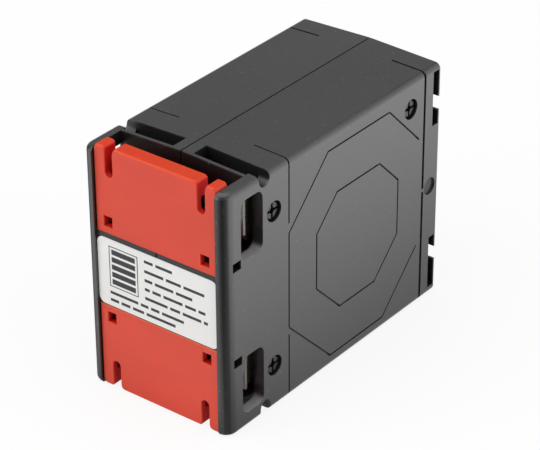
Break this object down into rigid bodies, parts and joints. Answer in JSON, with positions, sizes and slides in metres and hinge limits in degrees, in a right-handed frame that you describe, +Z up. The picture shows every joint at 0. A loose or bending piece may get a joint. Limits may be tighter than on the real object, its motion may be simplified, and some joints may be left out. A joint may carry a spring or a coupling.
{
  "type": "current transformer",
  "caption": "Small upright block case in two snapped halves, with a wound ring core inside, push-in terminal covers over screw terminals at the front, and T-slots at the back.",
  "frame": {"origin": "centre of the whole object's box at its bottom face, on the split plane of the case", "axes": "+Z up, -Y toward the labelled front with the terminals, +X toward the right side of someone facing the front"},
  "size_m": [0.04, 0.0794, 0.0623],
  "materials": {
    "black_plastic": "finely grained moulded case plastic",
    "red_plastic": "moulded cover plastic, soft sheen",
    "label_film": "printed film, satin",
    "core_steel": "wound strip steel",
    "insulation_paper": "wrapped insulation",
    "enamelled_copper": "varnished copper turns",
    "winding_tape": "polyester tape",
    "heavy_copper": "varnished heavy copper turns",
    "terminal_brass": "tin-dulled brass",
    "plated_steel": "zinc plated",
    "lead_sleeve": "sleeved lead"
  },
  "bodies": {
    "case": {"case_right": "black_plastic", "case_left": "black_plastic", "rating_label": "label_film", "ring_core": "core_steel", "core_wrap": "insulation_paper", "secondary_winding": "enamelled_copper", "winding_tape": "winding_tape", "primary_winding": "heavy_copper", "terminal_plate_p1": "terminal_brass", "clamp_plate_p1": "plated_steel", "terminal_screw_p1": "plated_steel", "lead_p1": "lead_sleeve", "terminal_plate_p2": "terminal_brass", "clamp_plate_p2": "plated_steel", "terminal_screw_p2": "plated_steel", "lead_p2": "lead_sleeve", "terminal_plate_s1": "terminal_brass", "clamp_plate_s1": "plated_steel", "terminal_screw_s1": "plated_steel", "lead_s1": "lead_sleeve", "terminal_plate_s2": "terminal_brass", "clamp_plate_s2": "plated_steel", "terminal_screw_s2": "plated_steel", "lead_s2": "lead_sleeve"},
    "upper_cover": {"upper_terminal_cover": "red_plastic"},
    "lower_cover": {"lower_terminal_cover": "red_plastic"}
  },
  "joints": [
    {"name": "upper_cover_pull", "type": "slide", "parent": "case", "child": "upper_cover", "axis": [0, -1, 0], "range_m": [0, 0.012]},
    {"name": "lower_cover_pull", "type": "slide", "parent": "case", "child": "lower_cover", "axis": [0, -1, 0], "range_m": [0, 0.012]}
  ]
}
